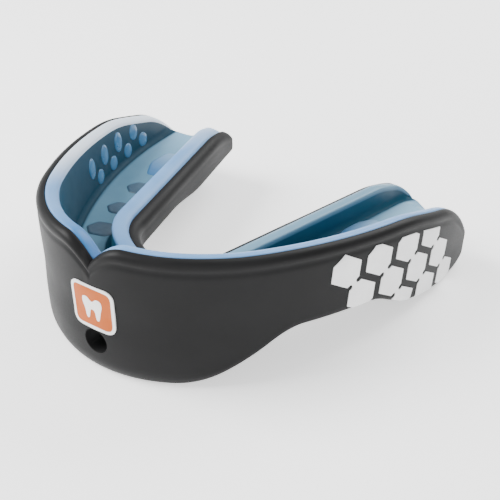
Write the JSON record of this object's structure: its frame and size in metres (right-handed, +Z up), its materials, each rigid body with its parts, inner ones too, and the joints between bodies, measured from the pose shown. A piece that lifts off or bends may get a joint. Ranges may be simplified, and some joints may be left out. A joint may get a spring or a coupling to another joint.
{
  "type": "boxing mouthguard",
  "caption": "Horseshoe mouthguard with a dark rubber shock frame, a blue gel tooth trough, a deep front flange with a tether port, and pale hexagon inlays on both cheeks.",
  "frame": {"origin": "on the ground the guard stands on, under the middle of its width and depth", "axes": "+Z up, the way the upper teeth come in; -Y towards the lips; +X towards the wearer's left as the guard faces away, the longest side; mirror-symmetric about X = 0"},
  "size_m": [0.0604, 0.0562, 0.0209],
  "materials": {
    "shock_rubber": "satin moulded rubber",
    "gel": "translucent ice-blue gel, glossy",
    "pad_rubber": "firm slate-blue elastomer, satin",
    "nub_gel": "pale blue gel, glossy",
    "inlay_white": "satin off-white film",
    "badge_orange": "satin orange print",
    "badge_white": "satin white print"
  },
  "bodies": {
    "root": {"shock_frame": "shock_rubber", "gel_liner": "gel", "bite_pads_left": "pad_rubber", "bite_pads_right": "pad_rubber", "wall_nubs_left": "nub_gel", "wall_nubs_right": "nub_gel", "badge_plate": "badge_orange", "badge_border": "badge_white", "badge_emblem": "badge_white", "side_inlay_left_1": "inlay_white", "side_inlay_left_2": "inlay_white", "side_inlay_left_3": "inlay_white", "side_inlay_left_4": "inlay_white", "side_inlay_right_1": "inlay_white", "side_inlay_right_2": "inlay_white", "side_inlay_right_3": "inlay_white", "side_inlay_right_4": "inlay_white"}
  },
  "joints": []
}
